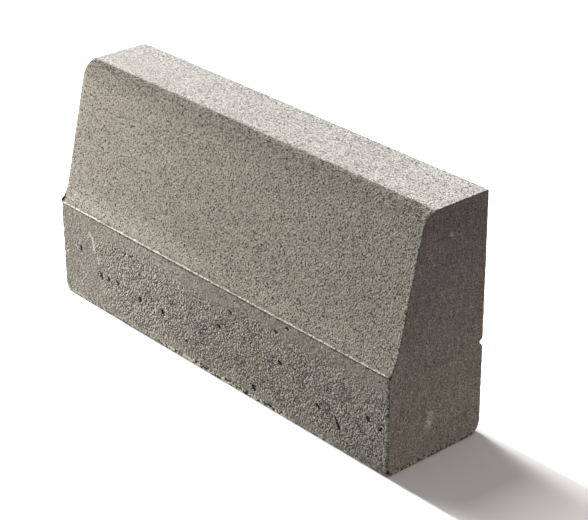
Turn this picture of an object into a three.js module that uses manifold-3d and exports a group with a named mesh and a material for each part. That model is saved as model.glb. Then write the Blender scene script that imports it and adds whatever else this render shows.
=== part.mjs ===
// Concrete kerb stone, 500 x 250 x 120 mm, with a battered face above an upright one.
//
// The stone is one piece of vibrated concrete, cast in one mould. Its section is the same
// all along: a flat top and an upright back, a face that leans back (the batter) from the
// top down to the knee, and an upright face below it that stands in the road bed. Just
// above the knee the batter flares out, and a narrow ledge closes what is left of the step
// to the upright face. The concrete that ran into the joint of the mould leaves a thin lip
// along the edge of that ledge. The top front arris is the nose, rounded for tyres and
// shoes, and the lower back edge is the heel, rounded by the mould.
//
// X runs along the kerb, the battered front looks towards -Y and the back towards +Y. The
// origin is under the middle of the stone, at ground level. All lengths are in millimetres.

import * as THREE from 'three';
import { mergeVertices } from 'three/addons/utils/BufferGeometryUtils.js';
import Module from 'manifold-3d';

// The stone as ordered.
const LENGTH = 500;
const HEIGHT = 250;
const BASE_WIDTH = 120;

// The section. The batter is the straight line between two corners: the one where it would
// meet the top, and the one where it would meet the level of the knee.
const TOP_WIDTH = 78; // from the back face to the corner where the batter meets the top
const KNEE_HEIGHT = 105; // the ledge and the upper edge of the lip
const KNEE_STEP = 7.5; // how far the lip stands out in front of the line of the batter
const LEDGE_WIDTH = 4; // the part of that step that the ledge takes, and the flare the rest
const KNEE_LIP = 1; // how far the lip stands out in front of the upright face, and its rise
const NOSE_RADIUS = 20; // rounding between the top and the batter
const FLARE_REACH = 20; // from the level of the knee up the batter to where the flare starts
const FLARE_RADIUS = 45; // hollow curve that starts the flare, which then runs on straight
const HEEL_RADIUS = 15; // rounding between the bed and the back
const ARC_STEPS = 8; // curve divisions, two flats to each

// The flakes that handling has knocked off the edges. Each takes the edge away up to this
// far from one point of it, along X, Y and Z.
const BACK_FLAKE_HEIGHT = 97; // up the back edge of the right-hand end
const BACK_FLAKE = new THREE.Vector3(9, 6.5, 4.5);
const KNEE_FLAKE = new THREE.Vector3(32, 4, 3.5);
const FOOT_FLAKE = new THREE.Vector3(6.5, 6, 10);

const CONCRETE = new THREE.MeshStandardMaterial({
  color: 0xa8a297,
  roughness: 0.92,
  metalness: 0,
});

const FRONT = -BASE_WIDTH / 2;
const BACK = BASE_WIDTH / 2;
const LEFT_END = -LENGTH / 2;
const RIGHT_END = LENGTH / 2;

// The batter, worked out from its two corners: its angle from the vertical, the way down it
// and the way straight out of it.
function batterLine() {
  const top = new THREE.Vector2(BACK - TOP_WIDTH, HEIGHT);
  const foot = new THREE.Vector2(FRONT + KNEE_STEP, KNEE_HEIGHT);
  const down = foot.clone().sub(top).normalize();
  const out = new THREE.Vector2(down.y, -down.x);
  const angle = Math.atan2(-down.x, -down.y);
  return { top, foot, down, out, angle };
}

// The section in the Y-Z plane, drawn from the foot of the front round the heel, the back,
// the top and the nose, down the batter and the flare to the knee. Every arc is tangent to
// the straights beside it.
function kerbSection() {
  const batter = batterLine();

  // The nose touches the top and the batter, both this far from their corner.
  const noseTurn = Math.PI / 2 - batter.angle;
  const noseReach = NOSE_RADIUS * Math.tan(noseTurn / 2);
  const noseCentre = new THREE.Vector2(batter.top.x + noseReach, HEIGHT - NOSE_RADIUS);

  // The flare's curve starts on the batter, and its straight part ends at the back of the
  // ledge. The straight touches the curve, so it stands square on the radius there: the
  // angle between that radius and the line from the centre to the ledge has a cosine of
  // radius over distance.
  const ledgeBack = new THREE.Vector2(FRONT + LEDGE_WIDTH, KNEE_HEIGHT);
  const flareCentre = batter.foot
    .clone()
    .addScaledVector(batter.down, -FLARE_REACH)
    .addScaledVector(batter.out, FLARE_RADIUS);
  const toLedge = ledgeBack.clone().sub(flareCentre);
  const toLedgeTurn = Math.atan2(toLedge.dot(batter.down), -toLedge.dot(batter.out));
  const flareTurn = toLedgeTurn - Math.acos(FLARE_RADIUS / toLedge.length());

  const section = new THREE.Shape();
  section.moveTo(FRONT + KNEE_LIP, 0);
  section.lineTo(BACK - HEEL_RADIUS, 0);
  section.absarc(BACK - HEEL_RADIUS, HEEL_RADIUS, HEEL_RADIUS, -Math.PI / 2, 0, false);
  section.lineTo(BACK, HEIGHT);
  section.lineTo(noseCentre.x, HEIGHT);
  section.absarc(
    noseCentre.x, noseCentre.y, NOSE_RADIUS,
    Math.PI / 2, Math.PI / 2 + noseTurn, false,
  );
  section.absarc(
    flareCentre.x, flareCentre.y, FLARE_RADIUS,
    -batter.angle, -batter.angle - flareTurn, true,
  );
  section.lineTo(ledgeBack.x, ledgeBack.y);
  section.lineTo(FRONT, KNEE_HEIGHT);
  section.lineTo(FRONT + KNEE_LIP, KNEE_HEIGHT - KNEE_LIP);
  section.closePath();
  return section;
}

// The sound stone: the section carried along the length, from the left-hand end to the
// right-hand one. The section's own x and y become Y and Z, and the way it runs becomes X.
function soundStone() {
  const geometry = new THREE.ExtrudeGeometry(kerbSection(), {
    depth: LENGTH,
    steps: 1,
    bevelEnabled: false,
    curveSegments: ARC_STEPS,
  });
  const across = new THREE.Vector3(0, 1, 0);
  const up = new THREE.Vector3(0, 0, 1);
  const along = new THREE.Vector3(1, 0, 0);
  geometry.applyMatrix4(new THREE.Matrix4().makeBasis(across, up, along));
  geometry.translate(LEFT_END, 0, 0);
  return geometry;
}

// What a flake takes away round a point. Concrete splits off along flat faces, so this is
// an octahedron with its corners at the flake's reach: it leaves one flat face where it
// takes a corner of the stone, and two that meet where it takes a piece of an edge.
function flake(reach, x, y, z) {
  const geometry = new THREE.OctahedronGeometry(1);
  geometry.scale(reach.x, reach.y, reach.z);
  geometry.translate(x, y, z);
  return geometry;
}

const wasm = await Module();
wasm.setup();

function toSolid(geometry) {
  const bare = geometry.clone();
  bare.deleteAttribute('normal');
  bare.deleteAttribute('uv');
  const merged = mergeVertices(bare);
  return new wasm.Manifold(new wasm.Mesh({
    numProp: 3,
    vertProperties: new Float32Array(merged.attributes.position.array),
    triVerts: new Uint32Array(merged.index.array),
  }));
}

function toGeometry(solid) {
  const mesh = solid.getMesh();
  const geometry = new THREE.BufferGeometry();
  geometry.setAttribute('position', new THREE.BufferAttribute(mesh.vertProperties, mesh.numProp));
  geometry.setIndex(new THREE.BufferAttribute(mesh.triVerts, 1));
  geometry.computeVertexNormals();
  return geometry;
}

// The stone as it is: sound, less its flakes.
function wornStone() {
  const flakes = [
    flake(BACK_FLAKE, RIGHT_END, BACK, BACK_FLAKE_HEIGHT),
    flake(KNEE_FLAKE, LEFT_END, FRONT, KNEE_HEIGHT),
    flake(FOOT_FLAKE, LEFT_END, FRONT + KNEE_LIP, 0),
  ];
  let stone = toSolid(soundStone());
  for (const lost of flakes) {
    stone = stone.subtract(toSolid(lost));
  }
  return toGeometry(stone);
}

const kerbStone = new THREE.Mesh(wornStone(), CONCRETE);
kerbStone.name = 'kerb_stone';

const kerb = new THREE.Group();
kerb.add(kerbStone);

export default kerb;
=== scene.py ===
# %% [markdown]
# # A concrete kerb stone
#
# A kerb stone is one block of vibrated concrete. Its section is the same all along: an
# upright face that will stand in the road bed, a thin lip and a narrow ledge at the knee, a
# flare, a face that leans back, a rounded nose, a flat top and an upright back.
#
# What the eye knows it by is the finish. The top and the leaning face are a fine, pale
# facing mix, the rest shows the coarse core mix, and the ends carry a dark skin of cement.
# So this script makes one closed mesh with real relief in it, and three materials.
#
# The shape could be sculpted, or cut from a box. It is worked out with numpy, because every
# point depends on two numbers: the place along the stone and the place round its section.

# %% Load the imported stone
import itertools
import math

import bpy
import numpy as np
from mathutils import Matrix, Vector


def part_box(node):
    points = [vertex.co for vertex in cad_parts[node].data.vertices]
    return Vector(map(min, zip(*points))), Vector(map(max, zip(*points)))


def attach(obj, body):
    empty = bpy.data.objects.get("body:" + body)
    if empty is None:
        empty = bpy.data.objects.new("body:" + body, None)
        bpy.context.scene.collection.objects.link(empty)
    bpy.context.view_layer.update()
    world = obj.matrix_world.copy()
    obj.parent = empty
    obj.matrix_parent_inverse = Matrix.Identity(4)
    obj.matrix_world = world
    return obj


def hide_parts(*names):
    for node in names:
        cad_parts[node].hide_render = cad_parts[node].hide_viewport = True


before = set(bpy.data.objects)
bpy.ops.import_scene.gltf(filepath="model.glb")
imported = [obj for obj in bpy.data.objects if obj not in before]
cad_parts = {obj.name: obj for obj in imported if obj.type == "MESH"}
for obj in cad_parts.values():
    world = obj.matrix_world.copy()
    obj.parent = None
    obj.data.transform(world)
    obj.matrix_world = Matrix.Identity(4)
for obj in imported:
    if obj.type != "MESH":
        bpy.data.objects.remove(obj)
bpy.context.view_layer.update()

MM = 0.001
NODE = "kerb_stone"
low, high = (np.array(corner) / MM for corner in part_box(NODE))
LEFT_END, FRONT, GROUND = low
RIGHT_END, BACK, TOP = high
print("the stone in mm:", np.round(high - low, 2))

# %% [markdown]
# ## The section
#
# The section is straight lines and four arcs: the nose, the hollow of the flare, the heel
# and the bead of the lip. The batter, the mason's word for the leaning face, is a line
# between two corners that are easy to measure. The arcs touch the lines beside them, so
# their centres and ends follow by a little trigonometry.
#
# A closed outline could be cut into equal steps. The ends have to be filled with the same
# points, though, so it is kept as four sides: front, top, back and bed. Facing sides have
# as many cells as each other.

# %% Driving dimensions, in millimetres
TOP_WIDTH = 78  # from the back face to the corner where the batter meets the top
KNEE_HEIGHT = 105  # the ledge and the upper edge of the lip
KNEE_STEP = 7.5  # how far the lip stands out in front of the line of the batter
LEDGE_WIDTH = 4  # the part of that step that the ledge takes, and the flare the rest
KNEE_LIP = 1  # how far the lip stands out in front of the upright face
BEAD_RADIUS = 1.5  # rounding of the lip's edge
BEAD_OVERHANG = 0.6  # height of the slope under the lip
NOSE_RADIUS = 20
FLARE_REACH = 20  # from the level of the knee up the batter to where the flare starts
FLARE_RADIUS = 45  # hollow curve that starts the flare, which then runs on straight
HEEL_RADIUS = 15

# %% How many cells each stretch is cut into
FACE_CELLS = 74
UNDER_LIP_CELLS = 1
BEAD_CELLS = 4
LIP_CELLS = UNDER_LIP_CELLS + BEAD_CELLS
LEDGE_CELLS = 2
FLARE_CELLS = 6
CURVE_CELLS = 5
BATTER_CELLS = 30
NOSE_HALF_CELLS = 7
TOP_CELLS = 24
HEEL_HALF_CELLS = 5
KNEE_CELLS = LIP_CELLS + LEDGE_CELLS + FLARE_CELLS + CURVE_CELLS
TALL_CELLS = FACE_CELLS + KNEE_CELLS + BATTER_CELLS + NOSE_HALF_CELLS
WIDE_CELLS = TOP_CELLS + NOSE_HALF_CELLS
LONG_CELLS = 284

# Beside a sharp edge the first cells are narrower by these shares, to hold a worn edge.
NARROWED = np.array([0.35, 0.6, 0.85])


# %% Steps that narrow beside a sharp edge
def spread(start, stop, cells, narrow=""):
    """Steps from start to stop: the running sum of the cell widths, scaled to fit. `narrow`
    names the ends with narrower cells."""
    widths = np.ones(cells)
    if "start" in narrow:
        widths[: len(NARROWED)] = NARROWED
    if "stop" in narrow:
        widths[-len(NARROWED):] = NARROWED[::-1]
    steps = np.concatenate(([0.0], np.cumsum(widths)))
    return start + (stop - start) * steps / steps[-1]


def line(start, stop, cells, narrow=""):
    """A straight stretch: start plus a growing share of the way to stop."""
    share = spread(0, 1, cells, narrow)[:, None]
    return share * np.subtract(stop, start) + start


def arc(centre, radius, start, stop, cells):
    """A round stretch: the centre plus radius times cosine and sine of a growing angle."""
    angle = spread(start, stop, cells)
    return radius * np.column_stack((np.cos(angle), np.sin(angle))) + centre


def joined(*stretches):
    """Stretches end to end, with the point that two of them share kept once."""
    return np.concatenate([stretches[0]] + [part[1:] for part in stretches[1:]])


# %% The batter, the nose and the flare, as points (y, z)
batter_top = np.array([BACK - TOP_WIDTH, TOP])
batter_foot = np.array([FRONT + KNEE_STEP, KNEE_HEIGHT])
down = (batter_foot - batter_top) / np.linalg.norm(batter_foot - batter_top)
out = np.array([down[1], -down[0]])
lean = math.atan2(-down[0], -down[1])

# The nose touches the top and the batter, both this far from their corner.
nose_turn = math.pi / 2 - lean
nose_reach = NOSE_RADIUS * math.tan(nose_turn / 2)
nose_centre = np.array([batter_top[0] + nose_reach, TOP - NOSE_RADIUS])
nose_middle = math.pi / 2 + nose_turn / 2

# The flare's curve starts on the batter, and its straight part, which touches the curve,
# ends at the back of the ledge. So seen from the curve's centre, those two ends are apart
# by the angle whose cosine is radius over distance.
ledge_back = np.array([FRONT + LEDGE_WIDTH, KNEE_HEIGHT])
flare_centre = batter_foot - down * FLARE_REACH + out * FLARE_RADIUS
to_ledge = ledge_back - flare_centre
ledge_turn = math.atan2(to_ledge @ down, -(to_ledge @ out))
flare_turn = ledge_turn - math.acos(FLARE_RADIUS / np.linalg.norm(to_ledge))

flare_curve = arc(flare_centre, FLARE_RADIUS, -lean - flare_turn, -lean, CURVE_CELLS)
lower_nose = arc(nose_centre, NOSE_RADIUS, math.pi / 2 + nose_turn, nose_middle, NOSE_HALF_CELLS)
upper_nose = arc(nose_centre, NOSE_RADIUS, nose_middle, math.pi / 2, NOSE_HALF_CELLS)
print(f"the batter leans by {math.degrees(lean):.1f} degrees")

# %% The lip and the heel
# The lip is a bead: a quarter circle from the ledge down to the front, and an overhang.
bead_centre = (FRONT + BEAD_RADIUS, KNEE_HEIGHT - BEAD_RADIUS)
bead_foot = (FRONT, KNEE_HEIGHT - BEAD_RADIUS)
lip_root = (FRONT + KNEE_LIP, KNEE_HEIGHT - BEAD_RADIUS - BEAD_OVERHANG)
foot = (FRONT + KNEE_LIP, GROUND)
back_corner = (BACK, TOP)
heel_centre = (BACK - HEEL_RADIUS, GROUND + HEEL_RADIUS)

under_heel = arc(heel_centre, HEEL_RADIUS, -math.pi / 2, -math.pi / 4, HEEL_HALF_CELLS)
behind_heel = arc(heel_centre, HEEL_RADIUS, -math.pi / 4, 0, HEEL_HALF_CELLS)

# %% The four sides of the section
front_side = joined(
    line(foot, lip_root, FACE_CELLS, "start stop"),
    line(lip_root, bead_foot, UNDER_LIP_CELLS),
    arc(bead_centre, BEAD_RADIUS, math.pi, math.pi / 2, BEAD_CELLS),
    line((bead_centre[0], KNEE_HEIGHT), ledge_back, LEDGE_CELLS),
    line(ledge_back, flare_curve[0], FLARE_CELLS),
    flare_curve,
    line(flare_curve[-1], lower_nose[0], BATTER_CELLS),
    lower_nose,
)
top_side = joined(upper_nose, line(upper_nose[-1], back_corner, TOP_CELLS, "stop"))
back = line(behind_heel[-1], back_corner, TALL_CELLS - HEEL_HALF_CELLS, "stop")
back_side = joined(behind_heel, back)
bed_side = joined(line(foot, under_heel[0], WIDE_CELLS - HEEL_HALF_CELLS, "start"), under_heel)
sides = (front_side, top_side, back_side, bed_side)
print("cells of the front, top, back and bed:", [len(side) - 1 for side in sides])

# %% [markdown]
# ## One skin round the whole stone
#
# The ring of section points is repeated at every station along X, which makes the sides.
# One big polygon could close an end, but it couldn't carry relief. A Coons patch blends the
# four sides across the middle instead, so its outermost points are the ring's own points
# and no seam can open.

# %% The ring, and where along the stone it is repeated
ring = np.concatenate((front_side[:-1], top_side[:-1], back_side[:0:-1], bed_side[:0:-1]))
RING = len(ring)
stations = spread(LEFT_END, RIGHT_END, LONG_CELLS, "start stop")

# Numbers of the ring points along each side, in the order in which the side was drawn.
front_ids = np.arange(TALL_CELLS + 1)
top_ids = TALL_CELLS + np.arange(WIDE_CELLS + 1)
back_ids = (TALL_CELLS * 2 + WIDE_CELLS - np.arange(TALL_CELLS + 1)) % RING
bed_ids = (RING - np.arange(WIDE_CELLS + 1)) % RING


def ring_normals(points):
    """Outward normals of the ring: each edge turned a quarter, averaged at its two points."""
    edge = np.roll(points, -1, axis=0) - points
    edge /= np.linalg.norm(edge, axis=1, keepdims=True)
    turned = np.column_stack((-edge[:, 1], edge[:, 0]))
    mean = turned + np.roll(turned, 1, axis=0)
    return mean / np.linalg.norm(mean, axis=1, keepdims=True)


ring_out = ring_normals(ring)
print("points round the ring:", RING, "stations:", len(stations))


# %% The Coons patch that fills an end
def coons(u, v, bed, top, front, back):
    """The blend bed-to-top plus the blend front-to-back, less the blend of the corners."""
    u = u[:, None, None]
    v = v[None, :, None]
    upright = (1 - v) * bed[:, None] + v * top[:, None]
    across = (1 - u) * front[None] + u * back[None]
    corners = (1 - v) * ((1 - u) * bed[0] + u * bed[-1]) + v * ((1 - u) * top[0] + u * top[-1])
    return upright + across - corners


wide_steps = spread(0, 1, WIDE_CELLS, "start stop")
tall_steps = spread(0, 1, TALL_CELLS, "start stop")
end_grid = coons(wide_steps, tall_steps, bed_side, top_side, front_side, back_side)
end_inside = end_grid[1:-1, 1:-1].reshape(-1, 2)
print("points inside an end:", len(end_inside))


# %% All points of the sound stone, and its faces
def along(x, points):
    """Points (y, z) set at one x."""
    return np.column_stack((np.full(len(points), x), points))


side_points = np.concatenate([along(x, ring) for x in stations])
points = np.concatenate((side_points, along(LEFT_END, end_inside), along(RIGHT_END, end_inside)))
SIDES = len(side_points)


def end_ids(station, first_inside):
    """The end's grid of point numbers: the ring's own round the rim, new ones inside."""
    ids = np.zeros((WIDE_CELLS + 1, TALL_CELLS + 1), int)
    ids[0], ids[-1] = front_ids, back_ids
    ids[:, 0], ids[:, -1] = bed_ids, top_ids
    ids += station * RING
    inside = np.arange(len(end_inside)).reshape(WIDE_CELLS - 1, TALL_CELLS - 1)
    ids[1:-1, 1:-1] = first_inside + inside
    return ids


def quads(ids):
    """A quad for each cell of a grid of point numbers."""
    corners = (ids[:-1, :-1], ids[1:, :-1], ids[1:, 1:], ids[:-1, 1:])
    return np.stack(corners, axis=-1).reshape(-1, 4)


side_ids = np.arange(SIDES).reshape(-1, RING)
closed_ids = np.column_stack((side_ids, side_ids[:, 0]))
left_ids = end_ids(0, SIDES)
right_ids = end_ids(LONG_CELLS, SIDES + len(end_inside))
faces = np.concatenate((quads(closed_ids), quads(left_ids)[:, ::-1], quads(right_ids)))
print("points:", len(points), "quads:", len(faces))

# %% [markdown]
# ## Noise
#
# Concrete is random at many sizes at once: grains, lumps, blotches. Blender's own Noise
# texture could make them, but the relief has to be in the mesh, where an exported model
# keeps it, so one function works the field out for all points at once.


# %% Smooth random fields
LATTICE = 64


def noise(where, size, seed):
    """A field from about -1 to 1. Random numbers sit at the corners of cubes `size` wide,
    and between them each axis is blended with the weight 3t^2 - 2t^3."""
    table = np.random.default_rng(seed).uniform(-1, 1, (LATTICE,) * 3)
    scaled = where / size
    cell = np.floor(scaled).astype(int)
    t = scaled - cell
    t = t * t * (3 - 2 * t)
    total = np.zeros(len(where))
    for corner in itertools.product((0, 1), repeat=3):
        weight = np.where(corner, t, 1 - t).prod(axis=1)
        x, y, z = ((cell + corner) % LATTICE).T
        total += weight * table[x, y, z]
    return total


def layered(where, size, seed):
    """Noise plus two finer layers, each half the size and 0.6 of the strength."""
    strengths = 0.6 ** np.arange(3)
    total = sum(
        strength * noise(where, size / 2**layer, seed + layer)
        for layer, strength in enumerate(strengths)
    )
    return total / strengths.sum()


def ease(value, start, stop):
    """0 before start, 1 after stop, and the curve 3t^2 - 2t^3 between them."""
    t = np.clip((value - start) / (stop - start), 0, 1)
    return t * t * (3 - 2 * t)


# %% [markdown]
# ## Where each point is
#
# The relief differs from face to face, so each point is told which finish it has and how far
# it is from the edges. On the ends, the rim is as far as the nearest ring point, which is
# close enough with points this dense.

# %% Coordinates and distances of every point
TOUCHING = 1e-6  # mm, nearer than this counts as on a face
x, y, z = points.T
is_side = np.arange(len(points)) < SIDES
ring_id = np.concatenate((np.tile(np.arange(RING), LONG_CELLS + 1), [0] * 2 * len(end_inside)))

gaps = np.linalg.norm(end_inside[:, None] - ring[None], axis=2)
ring_id[SIDES:] = np.tile(gaps.argmin(axis=1), 2)
from_rim = np.zeros(len(points))
from_rim[SIDES:] = np.tile(gaps.min(axis=1), 2)

from_end = np.minimum(x - LEFT_END, RIGHT_END - x)
from_arris = from_end + from_rim
on_end = from_end < TOUCHING

# %% Distances round the ring to its sharp corners
step = np.linalg.norm(np.roll(ring, -1, axis=0) - ring, axis=1)
girth = np.concatenate(([0.0], np.cumsum(step)[:-1]))
total_girth = step.sum()


def round_ring(corner_id):
    """How far each point's ring point is from a corner, measured round the ring."""
    gap = np.abs(girth[ring_id] - girth[corner_id])
    return np.minimum(gap, total_girth - gap)


FOOT_ID = 0
LIP_ROOT_ID = FACE_CELLS
LIP_EDGE_ID = LIP_ROOT_ID + LIP_CELLS
LEDGE_BACK_ID = LIP_EDGE_ID + LEDGE_CELLS
NOSE_END_ID = TALL_CELLS + NOSE_HALF_CELLS
BACK_CORNER_ID = TALL_CELLS + WIDE_CELLS

from_foot = round_ring(FOOT_ID)
from_lip = round_ring(LIP_EDGE_ID)
from_back_corner = round_ring(BACK_CORNER_ID)
below_nose_end = girth[NOSE_END_ID] - girth[ring_id]
above_ledge = girth[ring_id] - girth[LEDGE_BACK_ID]
print(f"girth of the section: {total_girth:.1f} mm")

# %% Which finish a point belongs to
by_face = ring_id <= LIP_ROOT_ID
on_face = is_side & by_face
on_facing = is_side & ~by_face & (ring_id <= BACK_CORNER_ID)
on_back = is_side & (ring_id > BACK_CORNER_ID)
print("points on face, facing and back:", on_face.sum(), on_facing.sum(), on_back.sum())

# %% [markdown]
# ## Relief
#
# The facing mix is tight: its relief is the sand itself, a tenth of a millimetre. The core
# mix is too stiff to flow against the mould everywhere, so its face is smooth just under the
# knee, where the mix was pressed, and open and pitted in the middle. The ends were dragged
# as the mould was drawn off, which leaves faint upright streaks. All of it goes inwards, so
# that the stone never grows.

# %% How open the core mix is
# Blotches decide where the face is open. The band under the knee, the strip along the foot
# and the left-hand end stay closed.
KNEE_BAND = 17  # mm, closed by pressing
FOOT_STRIP = 11  # mm, thickened by slurry that ran down the mould
CLOSED_END = (-215, -150)  # mm along the stone, between which the face opens


def wandering(value, first_seed, *waves):
    """The value plus a noise for each wave, given as (height, size) in millimetres."""
    for seed, (height, size) in enumerate(waves, first_seed):
        value = value + height * noise(points, size, seed)
    return value


blotch = layered(points, 42, seed=11)
below_knee = wandering(KNEE_HEIGHT - z, 12, (9, 60), (3, 12))
above_foot = wandering(z - GROUND, 14, (5, 22), (2.5, 6))
open_face = ease(below_knee, KNEE_BAND - 4, KNEE_BAND + 8)
open_face *= ease(above_foot, FOOT_STRIP - 5, FOOT_STRIP + 3)
open_face *= 0.5 + 0.5 * ease(blotch, -0.35, 0.3)
open_face *= 0.15 + 0.85 * ease(x + 25 * blotch, *CLOSED_END)
open_back = 0.35 + 0.4 * ease(blotch, -0.3, 0.4)
openness = np.where(on_face, open_face, np.where(on_back, open_back, 0))
print(f"mean openness of the face: {openness[on_face].mean():.2f}")

# %% [markdown]
# ### Nests, hollows and rubs
#
# Trapped air leaves nests of small holes, and a few hollows large enough to see alone, which
# are sunk into the mesh and painted black as shade. Pale rubs come from handling. They could
# be painted on an image of the face. Here each is a spot or a short line with a reach, and
# how near every point is to them is worked out once, so that relief and colour use the same
# number.

# %% Where they are, in millimetres
# Nests are (x, z, reach), and the other marks on the front are (x, z, x, z, reach), from one
# place to another. Those elsewhere are (start, stop, reach), with whole points.
NESTS = (
    (-244, 49, 6), (-218, 61, 9), (-184, 40, 7), (-170, 43, 6), (-154, 44, 6),
    (-125, 34, 8), (-104, 55, 8), (-83, 37, 8), (-60, 55, 9), (-33, 60, 7),
    (-12, 40, 12), (20, 62, 8), (42, 33, 9), (63, 12, 6), (88, 54, 10),
    (97, 87, 5), (113, 97, 4), (130, 45, 9), (166, 55, 9), (166, 36, 9),
    (195, 62, 8), (214, 38, 8),
)
FRONT_HOLLOWS = (
    (-218, 61, -217, 59, 1.8), (-184, 42, -182, 38, 1.8), (-171, 42, -170, 41, 1.7),
    (-156, 43, -155, 42, 1.7), (-117, 39, -117, 36, 2.0), (-80, 39, -79, 37, 1.8),
    (10, 59, 12, 58, 1.9), (-42, 21, -41, 21, 1.5), (28, 82, 30, 80, 1.4),
    (95, 88, 97, 87, 1.4), (112, 98, 114, 97, 1.4), (100, 57, 103, 55, 1.7),
    (61, 14, 64, 10, 1.3), (154, 34, 157, 31, 1.8), (179, 31, 185, 22, 1.4),
    (222, 51, 224, 48, 1.7), (240, 47, 239, 45, 1.6),
)
HOLLOWS = (
    ((LEFT_END, -53, 108), (LEFT_END, -57, 101), 4.0),
    ((RIGHT_END, -57, 102), (RIGHT_END, -57, 101), 1.5),
    ((RIGHT_END, -59, 5), (RIGHT_END, -58, 4), 2.0),
    ((RIGHT_END, -4, 0), (RIGHT_END, 5, 0), 1.6),
    ((125, 56, TOP), (125, 56, TOP), 1.6),
)
FRONT_RUBS = ((-201, 84, -197, 79, 2.2), (-195, 78, -193, 64, 2.6), (-188, 62, -185, 53, 1.8))
RUBS = (
    ((RIGHT_END, -9, 35), (RIGHT_END, -5, 45), 4.6),
    ((RIGHT_END, 15, 218), (RIGHT_END, 15, 221), 2.2),
    ((RIGHT_END, -13, 229), (RIGHT_END, -13, 229), 1.6),
    ((RIGHT_END, -7, 198), (RIGHT_END, -7, 198), 1.6),
)


# %% How near each point is to them
def in_front(marks):
    """The same marks with whole points, on the face."""
    level = FRONT + KNEE_LIP
    return tuple(((a, level, b), (c, level, d), reach) for a, b, c, d, reach in marks)


def marked(marks):
    """How near each point is to the nearest mark: exp(-(d/reach)^2) at d from its line."""
    nearest = np.zeros(len(points))
    for start, stop, reach in marks:
        way = np.subtract(stop, start)
        share = np.clip((points - start) @ way / max(way @ way, TOUCHING), 0, 1)
        gap = np.linalg.norm(points - start - share[:, None] * way, axis=1)
        nearest = np.maximum(nearest, np.exp(-((gap / reach) ** 2)))
    return nearest


nest = marked(in_front((a, b, a, b, reach) for a, b, reach in NESTS))
nest = np.where(on_face, nest, 0)
hollow = marked(in_front(FRONT_HOLLOWS) + HOLLOWS)
rubbed = marked(in_front(FRONT_RUBS) + RUBS)
for name, near in (("nests", nest), ("hollows", hollow), ("rubs", rubbed)):
    print(f"points in {name}: {(near > 0.5).sum()}")

# %% Pits where the core mix didn't close
PITS_ON_FACE = 260
PITS_ON_BACK = 900
PIT_RADIUS = (1.2, 2.3)  # mm
PIT_SHRINK = (0.7, 1)  # a share of that radius, drawn again so that small pits are common
PIT_STEEPNESS = (0.2, 0.5)  # depth over radius
HOLLOW_DEPTH = 1.5  # mm


def pit_depths(across, up, chosen, count, weight, seed):
    """Each pit is a bowl: its depth times (1 - (r/R)^2)^2 at r from its centre. The centres
    are drawn among the chosen points with a chance that grows as weight squared."""
    rng = np.random.default_rng(seed)
    ids = np.flatnonzero(chosen)
    share = weight[ids] ** 2
    centres = rng.choice(ids, size=count, p=share / share.sum())
    radius = rng.uniform(*PIT_RADIUS, count) * rng.uniform(*PIT_SHRINK, count)
    depth = radius * rng.uniform(*PIT_STEEPNESS, count)
    r2 = (across[ids, None] - across[centres]) ** 2 + (up[ids, None] - up[centres]) ** 2
    bowls = depth * np.clip(1 - r2 / radius**2, 0, None) ** 2
    sunk = np.zeros(len(chosen))
    sunk[ids] = bowls.max(axis=1)
    return sunk


upright_back = on_back & (np.abs(y - BACK) < TOUCHING)
pits = pit_depths(x, z, on_face, PITS_ON_FACE, 0.5 * openness + 0.5 * nest, seed=21)
pits += pit_depths(x, z, upright_back, PITS_ON_BACK, openness, seed=22)
pits = np.where(on_face, np.maximum(pits, HOLLOW_DEPTH * hollow), pits)
print(f"deepest pit: {pits.max():.2f} mm")

# %% Depth of the relief at every point
FACING_GRAIN = 0.10  # mm, as the rest
CORE_LUMPS = 0.35
CORE_GRAIN = 0.45
CLOSED_GRAIN = 0.08
END_DRAG = 0.16
END_GRAIN = 0.05
LUMP_SIZE = 6
STREAK_SIZE = 5
STREAK_SQUASH = (1, 1, 0.12)  # so that a streak is long upwards

grain = np.random.default_rng(31).uniform(0, 1, len(points))
lumps = 0.5 + 0.5 * layered(points, LUMP_SIZE, seed=32)
streaks = 0.5 + 0.5 * layered(points * STREAK_SQUASH, STREAK_SIZE, seed=36)

away_from_corners = ease(np.minimum(np.minimum(from_foot, from_lip), from_back_corner), 0, 3)
core_depth = openness * (CORE_LUMPS * lumps + CORE_GRAIN * grain) + CLOSED_GRAIN * grain
side_depth = np.where(on_facing, FACING_GRAIN * grain, away_from_corners * core_depth)
side_depth = side_depth + pits * ease(from_end, 0, 2)
end_depth = END_DRAG * streaks * ease(from_rim, 0, 3) + END_GRAIN * grain

# %% Push every point in by its depth
side_out = np.column_stack((np.zeros(RING), ring_out))[ring_id]
end_out = np.where(x > 0, 1.0, -1.0)[:, None] * (1, 0, 0)
relief = points.copy()
relief -= np.where(is_side, side_depth, 0)[:, None] * side_out
relief -= np.where(on_end, end_depth, 0)[:, None] * end_out
moved = np.linalg.norm(relief - points, axis=1)
print(f"relief moved the points by up to {moved.max():.2f} mm")

# %% [markdown]
# ## Worn edges and flakes
#
# Every sharp edge of a concrete block is a little crumbled. A bevel would be even all along,
# and wear isn't, so each edge gets a chamfer whose reach wanders: a point nearer to the edge
# than the reach slides diagonally inwards, half the missing distance along each face.
#
# Flakes are bigger. Concrete splits along flat faces, so the points inside an octahedron
# round one point of the edge slide onto its face.


# %% How far each edge is worn, in millimetres
def edge_reach(seed, usual, bite):
    """Usual wear that wanders by half, plus bites where a coarse noise is high."""
    wander = layered(points, 5, seed=seed)
    bites = ease(noise(points, 9, seed=seed + 5), 0.45, 0.95) * bite
    return usual * (1 + 0.5 * wander) + bites


worn = relief.copy()


def wear_edge(distance, reach, inward, chosen):
    """Slides the chosen points inwards by half of what their distance lacks to the reach."""
    slide = np.where(chosen, np.clip(reach - distance, 0, None) / 2, 0)
    worn[:] += slide[:, None] * inward


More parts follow.
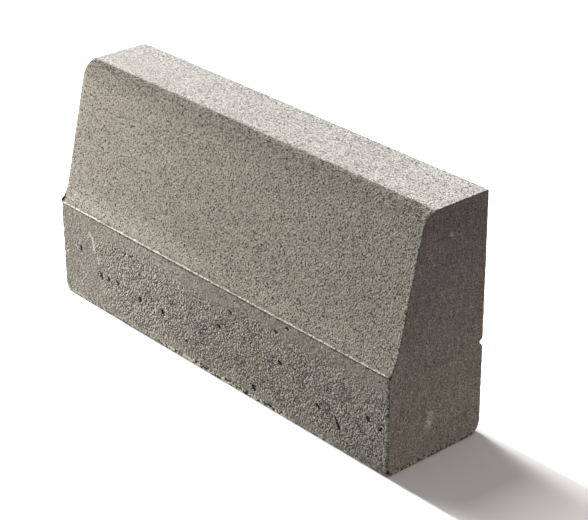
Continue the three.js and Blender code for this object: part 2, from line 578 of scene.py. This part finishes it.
# %% Wear the edges
# The rims of the two ends have been knocked about more below the knee.
below_lip = by_face | (round_ring(LIP_ROOT_ID) < 2)
rim_reach = edge_reach(41, usual=0.7, bite=1.4) + below_lip * edge_reach(46, usual=1.2, bite=2.4)
wear_edge(from_arris, rim_reach, -side_out - end_out, True)

# The edge along the foot is ragged, the one at the top of the back less so.
wear_edge(from_foot, edge_reach(51, usual=0.35, bite=2.2), (0, 1, 1), is_side)
wear_edge(from_back_corner, edge_reach(61, usual=0.8, bite=1.2), (0, -1, -1), is_side)

# The lip is thin and crumbles: its bead steps back and down, by a share that wanders and
# has bites in it.
lip_bites = ease(noise(points, 4, seed=67), 0.35, 0.8)
crumble = 0.2 + 0.15 * layered(points, 3, seed=66) + 0.6 * lip_bites
on_bead = is_side & (ring_id > LIP_ROOT_ID) & (ring_id < LIP_EDGE_ID)
worn += np.where(on_bead, crumble * KNEE_LIP, 0)[:, None] * (0, 0.8, -0.5)
print("points on worn edges:", (worn != relief).any(axis=1).sum())


# %% The flakes
def flake(reach, centre, inward):
    """Inside the octahedron |dx|/rx + |dy|/ry + |dz|/rz < 1, a point slides along `inward`
    by what the sum lacks to 1, divided by the sum that one unit of the slide adds."""
    inside = (np.abs(worn - centre) / reach).sum(axis=1)
    slide = np.clip(1 - inside, 0, None) / (np.abs(inward) / reach).sum()
    worn[:] += slide[:, None] * inward


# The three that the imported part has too, with their reach along X, Y and Z.
BACK_FLAKE_HEIGHT = 97
BACK_FLAKE = (9, 6.5, 4.5)
KNEE_FLAKE = (32, 4, 3.5)
FOOT_FLAKE = (6.5, 6, 10)
flake(BACK_FLAKE, (RIGHT_END, BACK, BACK_FLAKE_HEIGHT), (-1, -1, 0))
flake(KNEE_FLAKE, (LEFT_END, FRONT, KNEE_HEIGHT), (0, 1, -1))
flake(FOOT_FLAKE, (LEFT_END, FRONT + KNEE_LIP, GROUND), (1, 1, 1))

# Smaller ones: the lip's right-hand corner, and bites out of the upright arris below it.
LIP_FLAKE = (4, 6, 5)
LIP_FLAKE_HEIGHT = KNEE_HEIGHT - 4
ARRIS_FLAKE = (3, 5, 4)
ARRIS_FLAKE_HEIGHTS = (75, 47, 34, 14)
flake(LIP_FLAKE, (RIGHT_END, FRONT, LIP_FLAKE_HEIGHT), (-1, 1, 0))
for height in ARRIS_FLAKE_HEIGHTS:
    flake(ARRIS_FLAKE, (RIGHT_END, FRONT + KNEE_LIP, height), (-1, 1, 0))
print("worn box in mm:", *np.round(worn.min(axis=0), 2), "to", *np.round(worn.max(axis=0), 2))

# %% [markdown]
# ## The mesh
#
# `foreach_set` puts whole arrays into the mesh at once. The faces are smooth-shaded, and
# their steep edges marked sharp, so the lip stays crisp while the arcs look round.

# %% Put the arrays into a mesh
SHARP = math.radians(38)

mesh = bpy.data.meshes.new("kerb")
mesh.vertices.add(len(worn))
mesh.vertices.foreach_set("co", (worn * MM).astype(np.float32).ravel())
mesh.loops.add(faces.size)
mesh.loops.foreach_set("vertex_index", faces.astype(np.int32).ravel())
mesh.polygons.add(len(faces))
mesh.polygons.foreach_set("loop_start", np.arange(0, faces.size, 4, dtype=np.int32))
mesh.update(calc_edges=True)
mesh.validate()
mesh.polygons.foreach_set("use_smooth", np.ones(len(faces), bool))
mesh.set_sharp_from_angle(angle=SHARP)


def placed(name, data):
    """A new object in the scene with this data."""
    made = bpy.data.objects.new(name, data)
    bpy.context.scene.collection.objects.link(made)
    return made


kerb = placed("kerb", mesh)
print("triangles:", 2 * len(faces))


# %% Numbers that the materials read
def store(name, values):
    """Stores one number for each point of the mesh, for an Attribute node to read."""
    layer = mesh.attributes.new(name, "FLOAT", "POINT")
    layer.data.foreach_set("value", values.astype(np.float32))
    print(f"{name} from {values.min():.2f} to {values.max():.2f}")


store("below_nose", np.where(on_facing, below_nose_end, 0))
store("above_ledge", above_ledge)
store("open", openness)
store("pit", np.clip(pits, 0, 1))
store("nest", nest)
store("hollow", hollow)
store("rubbed", rubbed)
store("from_arris", from_arris)

# %% [markdown]
# ## Materials
#
# Each finish is one material, and they meet along the section's own edges, where the real
# ones do. The patterns read Object coordinates, so a grain has one size on every face. An
# image of concrete would repeat, and would be tied to one size of stone.
#
# A Voronoi texture is much like pressed mortar: every cell is one grain of sand, with one
# random colour. Its distance output draws round specks, and where most cells have one, they
# lie as evenly as in a well-turned mix.


# %% Helpers to build node trees: nodes and numbers
def add(tree, kind, inputs=None, **settings):
    """A new shader node with its settings, and its inputs set or linked by name."""
    made = tree.nodes.new("ShaderNode" + kind)
    for name, value in settings.items():
        setattr(made, name, value)
    for name, value in (inputs or {}).items():
        if isinstance(value, bpy.types.NodeSocket):
            tree.links.new(value, made.inputs[name])
        else:
            made.inputs[name].default_value = value
    return made


def stored(tree, name):
    """The number that the mesh stores under this name."""
    return add(tree, "Attribute", attribute_name=name).outputs["Fac"]


def maths(tree, operation, *values):
    """One Math node on numbers or sockets."""
    return add(tree, "Math", dict(enumerate(values)), operation=operation).outputs[0]


def product(tree, first, *others):
    """Numbers multiplied together."""
    for other in others:
        first = maths(tree, "MULTIPLY", first, other)
    return first


def largest(tree, first, *others):
    """The largest of some numbers."""
    for other in others:
        first = maths(tree, "MAXIMUM", first, other)
    return first


def rest(tree, share):
    """What a share leaves of 1."""
    return maths(tree, "SUBTRACT", 1.0, share)


def remap(tree, value, from_low, from_high, to_low=0, to_high=1):
    """Value between two limits, carried over to two other limits and held there."""
    limits = {"From Min": from_low, "From Max": from_high, "To Min": to_low, "To Max": to_high}
    return add(tree, "MapRange", {"Value": value, **limits}, clamp=True).outputs["Result"]


# %% Helpers: colours
COLOUR_SHARE, COLOUR_A, COLOUR_B, COLOUR_RESULT = 0, 6, 7, 2


def mix(tree, share, first, second, mode="MIX"):
    """A colour mixed, or multiplied, with another."""
    colours = [(*each, 1) if isinstance(each, tuple) else each for each in (first, second)]
    inputs = {COLOUR_SHARE: share, COLOUR_A: colours[0], COLOUR_B: colours[1]}
    return add(tree, "Mix", inputs, data_type="RGBA", blend_type=mode).outputs[COLOUR_RESULT]


def times(tree, first, second):
    """Two colours, or a colour and a brightness, multiplied."""
    return mix(tree, 1.0, first, second, "MULTIPLY")


def looked_up(tree, value, stops):
    """The brightness that a value has between stops, which are pairs (value, brightness)."""
    ramp = add(tree, "ValToRGB", {"Fac": value})
    marks = ramp.color_ramp.elements
    while len(marks) < len(stops):
        marks.new(0.5)
    for mark, (place, shade) in zip(marks, stops):
        mark.position = place
        mark.color = (shade, shade, shade, 1)
    return ramp.outputs["Color"]


# %% Helpers: patterns
def cells(tree, where, per_metre):
    """The distance to the middle of the Voronoi cell, in cell widths, and the cell's own
    random number."""
    made = add(tree, "TexVoronoi", {"Vector": where, "Scale": per_metre}, feature="F1")
    pick = add(tree, "SeparateColor", {"Color": made.outputs["Color"]}).outputs["Red"]
    return made.outputs["Distance"], pick


def grains(tree, where, per_metre, shades):
    """One brightness for each cell: its random number looked up in the shades."""
    return looked_up(tree, cells(tree, where, per_metre)[1], shades)


def specks(tree, where, per_metre, rarest, smallest, widest, rim=(-0.08, 0)):
    """1 inside small round spots. A Voronoi cell has one if its random number is above
    `rarest`, and it reaches from `smallest` to `widest` of a cell as that number nears 1.
    The spot fades out between the two distances from its edge in `rim`."""
    distance, pick = cells(tree, where, per_metre)
    reach = remap(tree, pick, rarest, 1, smallest, widest)
    spot = remap(tree, maths(tree, "SUBTRACT", distance, reach), *rim, 1, 0)
    return product(tree, spot, maths(tree, "GREATER_THAN", pick, rarest))


def cloud(tree, where, per_metre, detail=3.0):
    """A Noise texture's brightness."""
    inputs = {"Vector": where, "Scale": per_metre, "Detail": detail, "Roughness": 0.55}
    return add(tree, "TexNoise", inputs).outputs["Fac"]


def frayed(tree, where, value, reach, per_metre, detail=3.0):
    """The value plus `reach` times a noise, so that a border drawn by it comes out ragged."""
    return maths(tree, "MULTIPLY_ADD", cloud(tree, where, per_metre, detail), reach, value)


# %% Helpers: how a finish begins and ends
# Painted shade: the black in the hollows.
HOLLOW_SHADE = (0.02, 0.018, 0.015)


def emptied(made):
    """The new material or world, and its node tree with nothing in it."""
    made.use_nodes = True
    made.node_tree.nodes.clear()
    return made, made.node_tree


def begin(name):
    """A new material, its tree, the Object coordinates, and those as X, Y and Z."""
    material, tree = emptied(bpy.data.materials.new(name))
    where = add(tree, "TexCoord").outputs["Object"]
    return material, tree, where, add(tree, "SeparateXYZ", {"Vector": where}).outputs


def complete(tree, where, colour, roughness, specular, height, metres, strength):
    """Adds the shader. Its bumps are `height` times `metres` high, and its colour is
    blackened as painted shade where the stone has a hollow."""
    # Painted shade: the hollows are blackened.
    hollow_here = frayed(tree, where, stored(tree, "hollow"), 0.9, 600, 1)
    colour = mix(tree, remap(tree, hollow_here, 0.80, 0.90, 0, 0.97), colour, HOLLOW_SHADE)
    bump = add(tree, "Bump", {"Height": height, "Distance": metres, "Strength": strength})
    inputs = {"Base Color": colour, "Normal": bump.outputs["Normal"]}
    inputs |= {"Roughness": roughness, "Specular IOR Level": specular}
    shader = add(tree, "BsdfPrincipled", inputs)
    add(tree, "OutputMaterial", {"Surface": shader.outputs["BSDF"]})


# %% [markdown]
# ### The facing mix
#
# Fine pale sand in white-grey cement, pressed smooth, with dark specks two millimetres
# apart and a little grit. The top is paler and cooler than the batter, down to a ragged line
# on the nose: partly a paler finish, partly painted light, as if the top alone were lit.
# Under the line the batter is darker, painted shade with dark specks crowded in it. Lime
# bloom, greenish grey, lies above the knee and along the arrises. The lip is pale cement,
# painted brighter as a highlight on its edge. One noise with many layers would be simpler,
# but it gives blotches and no grains.

# %% Colours of the facing mix
# The top's colour is partly a paler finish and partly painted light.
TOP_PALE_AND_LIT = (0.68, 0.651, 0.603)
BATTER_PLAIN = (0.495, 0.443, 0.368)
BATTER_GREEN = (0.485, 0.453, 0.372)
BATTER_BLOOM = (0.57, 0.546, 0.462)
# Pale cement, painted brighter as a highlight on the lip's edge.
LIP_CEMENT_AND_HIGHLIGHT = (0.86, 0.82, 0.73)
# Dark grains, and also the painted shade of notches and of the band under the nose.
FACING_SPECK_AND_SHADE = (0.04, 0.034, 0.028)
FACING_SAND = ((0, 0.4), (0.17, 0.82), (0.80, 1.13), (0.9, 1.36), (1, 1.65))
LIP_SAND = ((0, 0.2), (0.14, 0.6), (0.24, 1), (1, 1.25))

# Specks: cells to a metre, then `rarest`, `smallest` and `widest` as `specks` has them.
TOP_PEPPER = (570, 0.35, 0.33, 0.52)
BATTER_PEPPER = (480, 0.35, 0.3, 0.455)
FACING_GRIT = (330, 0.9, 0.28, 0.42)
# Dark specks under the line on the nose, which deepen the painted shade there.
NOSE_SHADE_SPECKS = (540, 0.4, 0.34, 0.6)
# Painted shade: dark notches along the arrises, where small chips lie in shade.
FACING_NOTCHES = (400, 0.62, 0.3, 0.52)


# %% The ground colour of the facing mix
def facing_ground(tree, where, x, below_line, below_nose):
    """The top, paler partly as painted light, and the batter, with green patches, lime
    bloom and painted shade under the nose.
    """
    green = remap(tree, cloud(tree, where, 15), 0.5, 0.75, 0, 0.8)
    batter = mix(tree, green, BATTER_PLAIN, BATTER_GREEN)
    bloom_edge = frayed(tree, where, stored(tree, "above_ledge"), 16.0, 60)
    bloom_end = frayed(tree, where, x, 0.2, 12)
    bloom = remap(tree, bloom_edge, 10, 30, 0.9, 0)
    bloom = product(tree, bloom, remap(tree, bloom_end, -0.06, 0.08, 1, 0.1))
    rim = remap(tree, maths(tree, "ABSOLUTE", x), 0.2425, 0.2465, 0, 0.75)
    batter = mix(tree, largest(tree, bloom, rim), batter, BATTER_BLOOM)
    # Painted light: above the line on the nose the top takes its paler colour.
    base = mix(tree, below_line, TOP_PALE_AND_LIT, batter)
    base = times(tree, base, remap(tree, cloud(tree, where, 34), 0.3, 0.7, 0.95, 1.05))
    # Painted shade: the batter darker just under the nose, where it turns from the light.
    nose_shade = product(tree, below_line, remap(tree, below_nose, 10, 38, 0.3, 0))
    base = times(tree, base, rest(tree, nose_shade))
    brighter = product(tree, remap(tree, x, 0.14, 0.23, 0, 0.1), rest(tree, below_line))
    return times(tree, base, maths(tree, "ADD", 1.0, brighter))


# %% The specks of the facing mix
def facing_specks(tree, where, x, below_line, below_nose):
    """How dark the specks are: pepper of the top and of the batter, grit, specks crowded under
    the line on the nose, which deepen the painted shade there, and notches in the arrises,
    which are painted shade in small chips."""
    on_top = product(tree, rest(tree, below_line), remap(tree, x, -0.25, -0.05, 0.6, 1))
    near_line = product(tree, remap(tree, below_nose, 10, 34, 1, 0), below_line)
    kinds = (
        (TOP_PEPPER, on_top),
        (BATTER_PEPPER, below_line),
        (FACING_GRIT, remap(tree, below_line, 0, 1, 0.45, 1)),
        (NOSE_SHADE_SPECKS, near_line),
        (FACING_NOTCHES, remap(tree, stored(tree, "from_arris"), 0.4, 1.3, 1, 0)),
    )
    return largest(tree, *(product(tree, specks(tree, where, *kind), part) for kind, part in kinds))


# %% The facing mix
def facing_mix():
    """Ground colour, sand and specks, then painted shade at the ledge, the lip with its
    painted highlight, and the bumps.
    """
    material, tree, where, place = begin("facing_mix")
    x = place["X"]
    # The ragged line on the nose where the top's painted light ends and the batter begins.
    below_nose = frayed(tree, where, stored(tree, "below_nose"), 9.0, 420, 2)
    below_line = remap(tree, below_nose, 7.2, 8.6)
    base = facing_ground(tree, where, x, below_line, below_nose)
    base = times(tree, base, grains(tree, where, 1150, FACING_SAND))
    dark = facing_specks(tree, where, x, below_line, below_nose)
    # Dark grains, with painted shade in the notches and under the nose.
    base = mix(tree, dark, base, FACING_SPECK_AND_SHADE)

    above_ledge = stored(tree, "above_ledge")
    # Painted shade: the ledge and the foot of the flare, in the corner where they meet.
    base = times(tree, base, remap(tree, above_ledge, 0, 1.5, 0.82, 1))
    # The lip: pale cement with a painted highlight, brighter towards the left-hand end.
    lip = times(tree, LIP_CEMENT_AND_HIGHLIGHT, grains(tree, where, 700, LIP_SAND))
    lip = times(tree, lip, remap(tree, x, -0.2, 0.05, 1.18, 1.0))
    on_lip = remap(tree, frayed(tree, where, above_ledge, 5.0, 320, 2), -1.0, -0.4, 1, 0)
    base = mix(tree, on_lip, base, lip)

    standing = rest(tree, cells(tree, where, 440)[0])
    strength = remap(tree, x, -0.25, 0.05, 0.34, 0.52)
    strength = product(tree, strength, remap(tree, below_line, 0, 1, 0.3, 1))
    complete(tree, where, base, 0.93, 0.25, standing, 0.0020, strength)
    return material


# %% [markdown]
# ### The core mix
#
# Coarser sand and small gravel in grey cement. Where the face is open, the grains stand out,
# some of them bright quartz, and the gaps between them are painted dark, as shade. Slurry
# dried pale along the foot and left crumbs there, and a painted shadow lies under the lip.
# All the holes could be modelled. The larger ones are, as pits in the mesh, with painted
# shade in the deepest, and the small ones are painted shade and a Bump node, which cost no
# triangles.

# %% Colours of the core mix
CORE_PLAIN = (0.505, 0.459, 0.395)
CORE_GREEN = (0.495, 0.455, 0.378)
CORE_SLURRY = (0.495, 0.463, 0.39)
# Painted shade for holes, gaps, notches and pits.
CORE_HOLE_SHADE = (0.03, 0.027, 0.023)
CORE_QUARTZ = (0.95, 0.93, 0.87)
CORE_RUBBED = (0.93, 0.90, 0.81)
CORE_CRUMB = (0.86, 0.81, 0.65)
# Painted shadow under the lip, where it overhangs the face.
UNDER_LIP_SHADE = (0.10, 0.085, 0.065)
CORE_ALONG = ((0, 0.87), (0.3, 1.17), (0.44, 0.96), (0.8, 0.94), (1, 0.96))  # left to right
CORE_SAND = ((0, 0.2), (0.12, 0.5), (0.20, 0.82), (0.8, 1.15), (0.88, 1.65), (1, 2.2))
CRUMB_SHADES = ((0, 0.03), (0.45, 0.1), (0.5, 0.9), (1, 1.45))

# Specks, as for the facing mix.
OPEN_QUARTZ = (490, 0.4, 0.24, 0.46)
NEST_QUARTZ = (400, 0.35, 0.3, 0.52)
# The gaps between grains, and the notches, are painted shade.
CORE_GAPS = (430, 0.35, 0.29, 0.43)
CORE_NOTCHES = (260, 0.4, 0.25, 0.5)
OPEN_HOLES = (360, 0.86, 0.24, 0.46)
NEST_HOLES = (340, 0.68, 0.26, 0.42)


# %% The ground colour of the core mix
def core_ground(tree, where, up, lengthwise, opened):
    """Grey cement with green patches, slurry along the foot and sand of every brightness."""
    green = remap(tree, cloud(tree, where, 14), 0.35, 0.65)
    base = mix(tree, green, CORE_PLAIN, CORE_GREEN)
    slurry = remap(tree, frayed(tree, where, up, 0.014, 150), 0.0125, 0.0185, 1, 0)
    base = mix(tree, slurry, base, CORE_SLURRY)
    base = times(tree, base, grains(tree, where, 1000, CORE_SAND))
    base = times(tree, base, remap(tree, opened, 0, 1, 0.92, 1.15))
    return times(tree, base, looked_up(tree, lengthwise, CORE_ALONG))


# %% Blowholes
HOLE_RIM = (-0.12, -0.02)
FUNNEL_RIM = (-0.06, 0.3)


def blowholes(tree, where, sizes, share):
    """Specks whose outline is ragged, because the place is first shifted by a fine noise,
    and the funnels round them, which reach a little further. Both times their share."""
    wobble = add(tree, "TexNoise", {"Vector": where, "Scale": 500.0, "Detail": 2.0})
    shift = {0: wobble.outputs["Color"], 1: (0.5,) * 3}
    shift = add(tree, "VectorMath", shift, operation="SUBTRACT").outputs[0]
    shift = add(tree, "VectorMath", {0: shift, "Scale": 0.0035}, operation="SCALE")
    bent = add(tree, "VectorMath", {0: where, 1: shift.outputs[0]}).outputs[0]
    return [product(tree, specks(tree, bent, *sizes, rim), share) for rim in (HOLE_RIM, FUNNEL_RIM)]


# %% The holes and gaps of the core mix
def core_holes(tree, where, opened, near_nest):
    """How much painted shade the holes, the gaps between grains, the notches and the deepest
    pits get, and how deep the funnels are.
    """
    hole, funnel = blowholes(tree, where, OPEN_HOLES, opened)
    nest_hole, nest_funnel = blowholes(tree, where, NEST_HOLES, near_nest)
    gaps_here = specks(tree, where, *CORE_GAPS)
    gaps_here = product(tree, gaps_here, remap(tree, opened, 0, 1, 0.25, 1))
    at_arris = remap(tree, stored(tree, "from_arris"), 0.5, 3, 1, 0)
    notches = product(tree, specks(tree, where, *CORE_NOTCHES), at_arris)
    pit_shade = remap(tree, stored(tree, "pit"), 0.6, 0.9, 0, 0.6)
    dark = largest(tree, hole, nest_hole, gaps_here, notches, pit_shade)
    return dark, largest(tree, funnel, nest_funnel)


# %% Crumbs along the foot, and painted shadow under the lip
CRUMBS_MIDDLE = 0.015  # m along the stone, where the crumbs lie thickest


def core_edges(tree, where, place, base):
    """The colour with crumbs on the foot, darker low down at the right-hand end, and
    painted shadow under the lip.
    """
    patches = remap(tree, cloud(tree, where, 35), 0.35, 0.6, 0.1, 0.6)
    aside = maths(tree, "ABSOLUTE", maths(tree, "SUBTRACT", place["X"], CRUMBS_MIDDLE))
    patches = largest(tree, patches, remap(tree, aside, 0.09, 0.12, 1, 0))
    on_foot = remap(tree, frayed(tree, where, place["Z"], 0.010, 260, 2), 0.0092, 0.0102, 1, 0)
    crumb = times(tree, CORE_CRUMB, grains(tree, where, 420, CRUMB_SHADES))
    base = mix(tree, product(tree, on_foot, patches), base, crumb)

    # Darker low down at the right-hand end.
    low_right_darkening = remap(tree, place["Z"], 0.01, 0.03, 1, 0)
    low_right_darkening = product(tree, low_right_darkening, remap(tree, place["X"], 0.17, 0.24, 0, 0.25))
    base = times(tree, base, rest(tree, low_right_darkening))

    # Painted shadow: a ragged dark strip just under the lip.
    knee = KNEE_HEIGHT * MM
    drop = frayed(tree, where, place["Z"], 0.006, 330, 1)
    under_lip = remap(tree, drop, knee - 0.0011, knee, 0, 0.95)
    under_lip = product(tree, under_lip, remap(tree, place["Y"], -0.05, -0.04, 1, 0))
    return mix(tree, under_lip, base, UNDER_LIP_SHADE)


# %% The core mix
def core_mix():
    """Ground colour, quartz, holes, rubs and edges, then bumps, deepest where it is open."""
    material, tree, where, place = begin("core_mix")
    opened = remap(tree, stored(tree, "open"), 0, 0.75)
    near_nest = remap(tree, stored(tree, "nest"), 0.3, 0.6)
    lengthwise = remap(tree, place["X"], -0.25, 0.25)
    base = core_ground(tree, where, place["Z"], lengthwise, opened)

    quartz = product(tree, specks(tree, where, *OPEN_QUARTZ), remap(tree, opened, 0, 1, 0.1, 0.95))
    quartz = product(tree, quartz, remap(tree, lengthwise, 0.1, 0.5, 0.3, 1))
    nest_quartz = product(tree, specks(tree, where, *NEST_QUARTZ), near_nest)
    base = mix(tree, largest(tree, quartz, nest_quartz), base, CORE_QUARTZ)
    dark, funnel = core_holes(tree, where, opened, near_nest)
    # Painted shade in the holes, the gaps, the notches and the deepest pits.
    base = mix(tree, product(tree, dark, 0.95), base, CORE_HOLE_SHADE)
    rubbed_here = frayed(tree, where, stored(tree, "rubbed"), 1.4, 560, 2)
    base = mix(tree, remap(tree, rubbed_here, 1.2, 1.55, 0, 0.85), base, CORE_RUBBED)
    base = core_edges(tree, where, place, base)

    standing = rest(tree, cells(tree, where, 390)[0])
    standing = maths(tree, "MULTIPLY_ADD", funnel, -0.5, standing)
    strength = remap(tree, opened, 0, 1, 0.22, 0.87)
    strength = maths(tree, "MULTIPLY_ADD", near_nest, 0.3, strength)
    complete(tree, where, base, 0.95, 0.2, standing, 0.0042, strength)
    return material


# %% [markdown]
# ### The skin of the ends
#
# The mould's end plates drag cement paste over the end as it is drawn off: a dark, warm skin
# with faint upright streaks, a few pale grains and rubbed spots. Towards the foot it is
# paler, which is painted light thrown up from the floor. A streak is a noise that a Mapping
# node draws out along Z, which needs no image.

# %% Colours of the skin
SKIN_DARK = (0.232, 0.185, 0.172)
SKIN_PLAIN = (0.265, 0.218, 0.194)
# Paler near the foot: painted light thrown up from the floor.
SKIN_LOW_AND_BOUNCE = (0.362, 0.307, 0.250)
SKIN_RUBBED = (0.60, 0.55, 0.46)
SKIN_CRUMB = (0.50, 0.44, 0.33)
SKIN_SAND = ((0, 0.28), (0.13, 0.55), (0.21, 0.89), (0.8, 1.1), (0.89, 1.55), (1, 2.2))
SKIN_GRAINS = (200, 0.96, 0.12, 0.2)
CRISP_RIM = (-0.001, 0)


# %% The skin of the ends
def end_skin():
    """Streaks, rubs, sand and pale grains, then the crumbs of the foot and darker rims."""
    material, tree, where, place = begin("end_skin")
    up = place["Z"]
    drawn = add(tree, "Mapping", {"Vector": where, "Scale": (1, 1, 0.2)}).outputs["Vector"]
    blotches = remap(tree, cloud(tree, where, 18), 0.35, 0.65)
    base = mix(tree, blotches, SKIN_DARK, SKIN_PLAIN)
    # Painted light: the skin grows paler towards the foot.
    base = mix(tree, remap(tree, up, 0.02, 0.23, 1, 0), base, SKIN_LOW_AND_BOUNCE)
    base = times(tree, base, remap(tree, cloud(tree, drawn, 330, 4), 0.3, 0.7, 0.84, 1.14))
    rubbed_here = frayed(tree, where, stored(tree, "rubbed"), 1.2, 420, 2)
    base = mix(tree, remap(tree, rubbed_here, 0.95, 1.35, 0, 0.85), base, SKIN_RUBBED)
    base = times(tree, base, grains(tree, where, 1100, SKIN_SAND))
    pale = specks(tree, where, *SKIN_GRAINS, CRISP_RIM)
    base = mix(tree, product(tree, pale, 0.7), base, SKIN_RUBBED)

    crumb = times(tree, SKIN_CRUMB, grains(tree, where, 420, CRUMB_SHADES))
    foot_edge = frayed(tree, where, up, 0.016, 420, 2)
    base = mix(tree, remap(tree, foot_edge, 0.009, 0.016, 0.85, 0), base, crumb)
    rim = frayed(tree, where, stored(tree, "from_arris"), 0.9, 420, 2)
    rim = maths(tree, "MULTIPLY_ADD", remap(tree, up, 0, 0.01, 1, 0), 3.0, rim)
    base = times(tree, base, remap(tree, rim, 0.5, 2.2, 0.45, 1))
    complete(tree, where, base, 0.88, 0.25, cloud(tree, drawn, 500, 3), 0.0010, 0.6)
    return material


# %% Give each face its finish
for make in (facing_mix, core_mix, end_skin):
    mesh.materials.append(make())
FACING, CORE, SKIN = 0, 1, 2

ring_finish = np.full(RING, CORE)
ring_finish[LIP_ROOT_ID + 1 : BACK_CORNER_ID] = FACING
end_finish = np.full(2 * WIDE_CELLS * TALL_CELLS, SKIN)
finish = np.concatenate((np.tile(ring_finish, LONG_CELLS), end_finish))
mesh.polygons.foreach_set("material_index", finish.astype(np.int32))
mesh.update()
print("faces of each finish:", np.bincount(finish))

# %% [markdown]
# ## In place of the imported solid
#
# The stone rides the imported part's one body and takes the place of its one piece, or the
# plain solid would show as well.

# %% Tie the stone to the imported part
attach(kerb, "root")
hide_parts(NODE)

# %% [markdown]
# ## The floor
#
# A white floor shows the shadow and nothing else. If it lit the stone as a real white floor
# would, the shaded end would be far too bright. So only rays straight from the camera, or
# by way of a reflection, see it white, and to all others it is a dark grey.

# %% The floor
FLOOR_HALF = 9.0  # m
FLOOR_SEEN = (0.93, 0.885, 0.875)
FLOOR_UNSEEN = (0.08, 0.08, 0.08)

floor_mesh = bpy.data.meshes.new("floor")
signs = ((-1, -1), (1, -1), (1, 1), (-1, 1))
corners = [(a * FLOOR_HALF, b * FLOOR_HALF, 0) for a, b in signs]
floor_mesh.from_pydata(corners, [], [(0, 1, 2, 3)])
floor = placed("floor", floor_mesh)


def seen_directly(tree):
    """1 for camera, glossy and transmission rays, 0 for the rest."""
    path = add(tree, "LightPath").outputs
    kinds = ("Camera", "Glossy", "Transmission")
    return largest(tree, *(path[f"Is {kind} Ray"] for kind in kinds))


floor_paint, tree = emptied(bpy.data.materials.new("floor_paint"))
colour = mix(tree, seen_directly(tree), FLOOR_UNSEEN, FLOOR_SEEN)
diffuse = add(tree, "BsdfDiffuse", {"Color": colour})
add(tree, "OutputMaterial", {"Surface": diffuse.outputs[0]})
floor_mesh.materials.append(floor_paint)

# %% [markdown]
# ## The light
#
# The stone and the floor have lamps of their own, which light linking allows. The stone's
# key lamp stands behind it on the left, which shades the leaning face, and a soft fill low
# in front puts some light back. The floor's key lamp stands straight out to the left, so the
# shadow falls straight to the right. A broad lamp above thins the shadow out with distance,
# and a small one close to the stone does so at its root.


# %% A lamp
def lamp(name, lit_object, place, aim, watts, size, size_y=None):
    """An area lamp turned to a point, round or a rectangle, that lights one object alone."""
    light = bpy.data.lights.new(name, "AREA")
    light.shape = "DISK" if size_y is None else "RECTANGLE"
    light.size = size
    light.size_y = size_y or size
    light.energy = watts
    made = placed(name, light)
    made.location = place
    way = Vector(aim) - Vector(place)
    made.rotation_euler = way.to_track_quat("-Z", "Y").to_euler()
    lit = bpy.data.collections.new("lit_by_" + name)
    lit.objects.link(lit_object)
    made.light_linking.receiver_collection = lit


def way_out(azimuth, elevation):
    """The unit vector away from the stone, (-sin a cos e, -cos a cos e, sin e), for angles in
    degrees with azimuth 0 in front and 90 on the left."""
    a, e = math.radians(azimuth), math.radians(elevation)
    return Vector((-math.sin(a) * math.cos(e), -math.cos(a) * math.cos(e), math.sin(e)))


# %% The lamps, placed in metres
STONE_MIDDLE = Vector((0, 0, 0.12))
FAR = 6.0

lamp("key", kerb, STONE_MIDDLE + FAR * way_out(145, 28), STONE_MIDDLE, 280, 0.5)
lamp("side", kerb, STONE_MIDDLE + FAR * way_out(90, 55), STONE_MIDDLE, 110, 0.5)
lamp("fill", kerb, (-1, -0.5, 0.33), (-0.1, -0.05, 0.12), 8.7, 0.2)
lamp("bounce", kerb, (0.45, 0, 0.02), (0.25, 0, 0.02), 0.05, 0.1)

lamp("floor_key", floor, STONE_MIDDLE + FAR * way_out(89.4, 45), STONE_MIDDLE, 620, 0.17)
lamp("floor_top", floor, (-1.31, 0.22, 2.5), (-1.31, 0.22, 0), 74, 1.78, 0.3)
lamp("floor_near", floor, (0.262, 0, 0.12), (0.262, 0, 0), 0.007, 0.06)
print("lamps:", len(bpy.data.lights))

# %% The sky
SKY = 0.33

world, sky = emptied(bpy.data.worlds.new("sky"))
bpy.context.scene.world = world
either = sky.nodes.new("ShaderNodeMixShader")
sky.links.new(seen_directly(sky), either.inputs[0])
for socket, strength in ((1, SKY), (2, 1.0)):
    glow = add(sky, "Background", {"Color": (1, 1, 1, 1), "Strength": strength})
    sky.links.new(glow.outputs[0], either.inputs[socket])
add(sky, "OutputWorld", {"Surface": either.outputs[0]})

# %% [markdown]
# ## The camera
#
# It stands off to the right and looks down a little through a long lens. A direction, a
# distance and an aim are easier to think about than a location and three angles.

# %% The camera
CAMERA_ROLL = math.radians(-0.365)
CAMERA_DISTANCE = 1.8797  # m
CAMERA_AIM = Vector((0.0555, 0, 0.1278))
CAMERA_LENS = 120.2  # mm

camera = placed("camera", bpy.data.cameras.new("camera"))
camera.data.lens = CAMERA_LENS
to_camera = way_out(azimuth=-49.06, elevation=26.496)
camera.location = CAMERA_AIM + to_camera * CAMERA_DISTANCE
unrolled = (-to_camera).to_track_quat("-Z", "Y").to_matrix()
camera.rotation_euler = (unrolled @ Matrix.Rotation(CAMERA_ROLL, 3, "Z")).to_euler()
bpy.context.scene.camera = camera
bpy.context.scene.view_settings.view_transform = "Standard"
print("camera at", np.round(camera.location, 3))
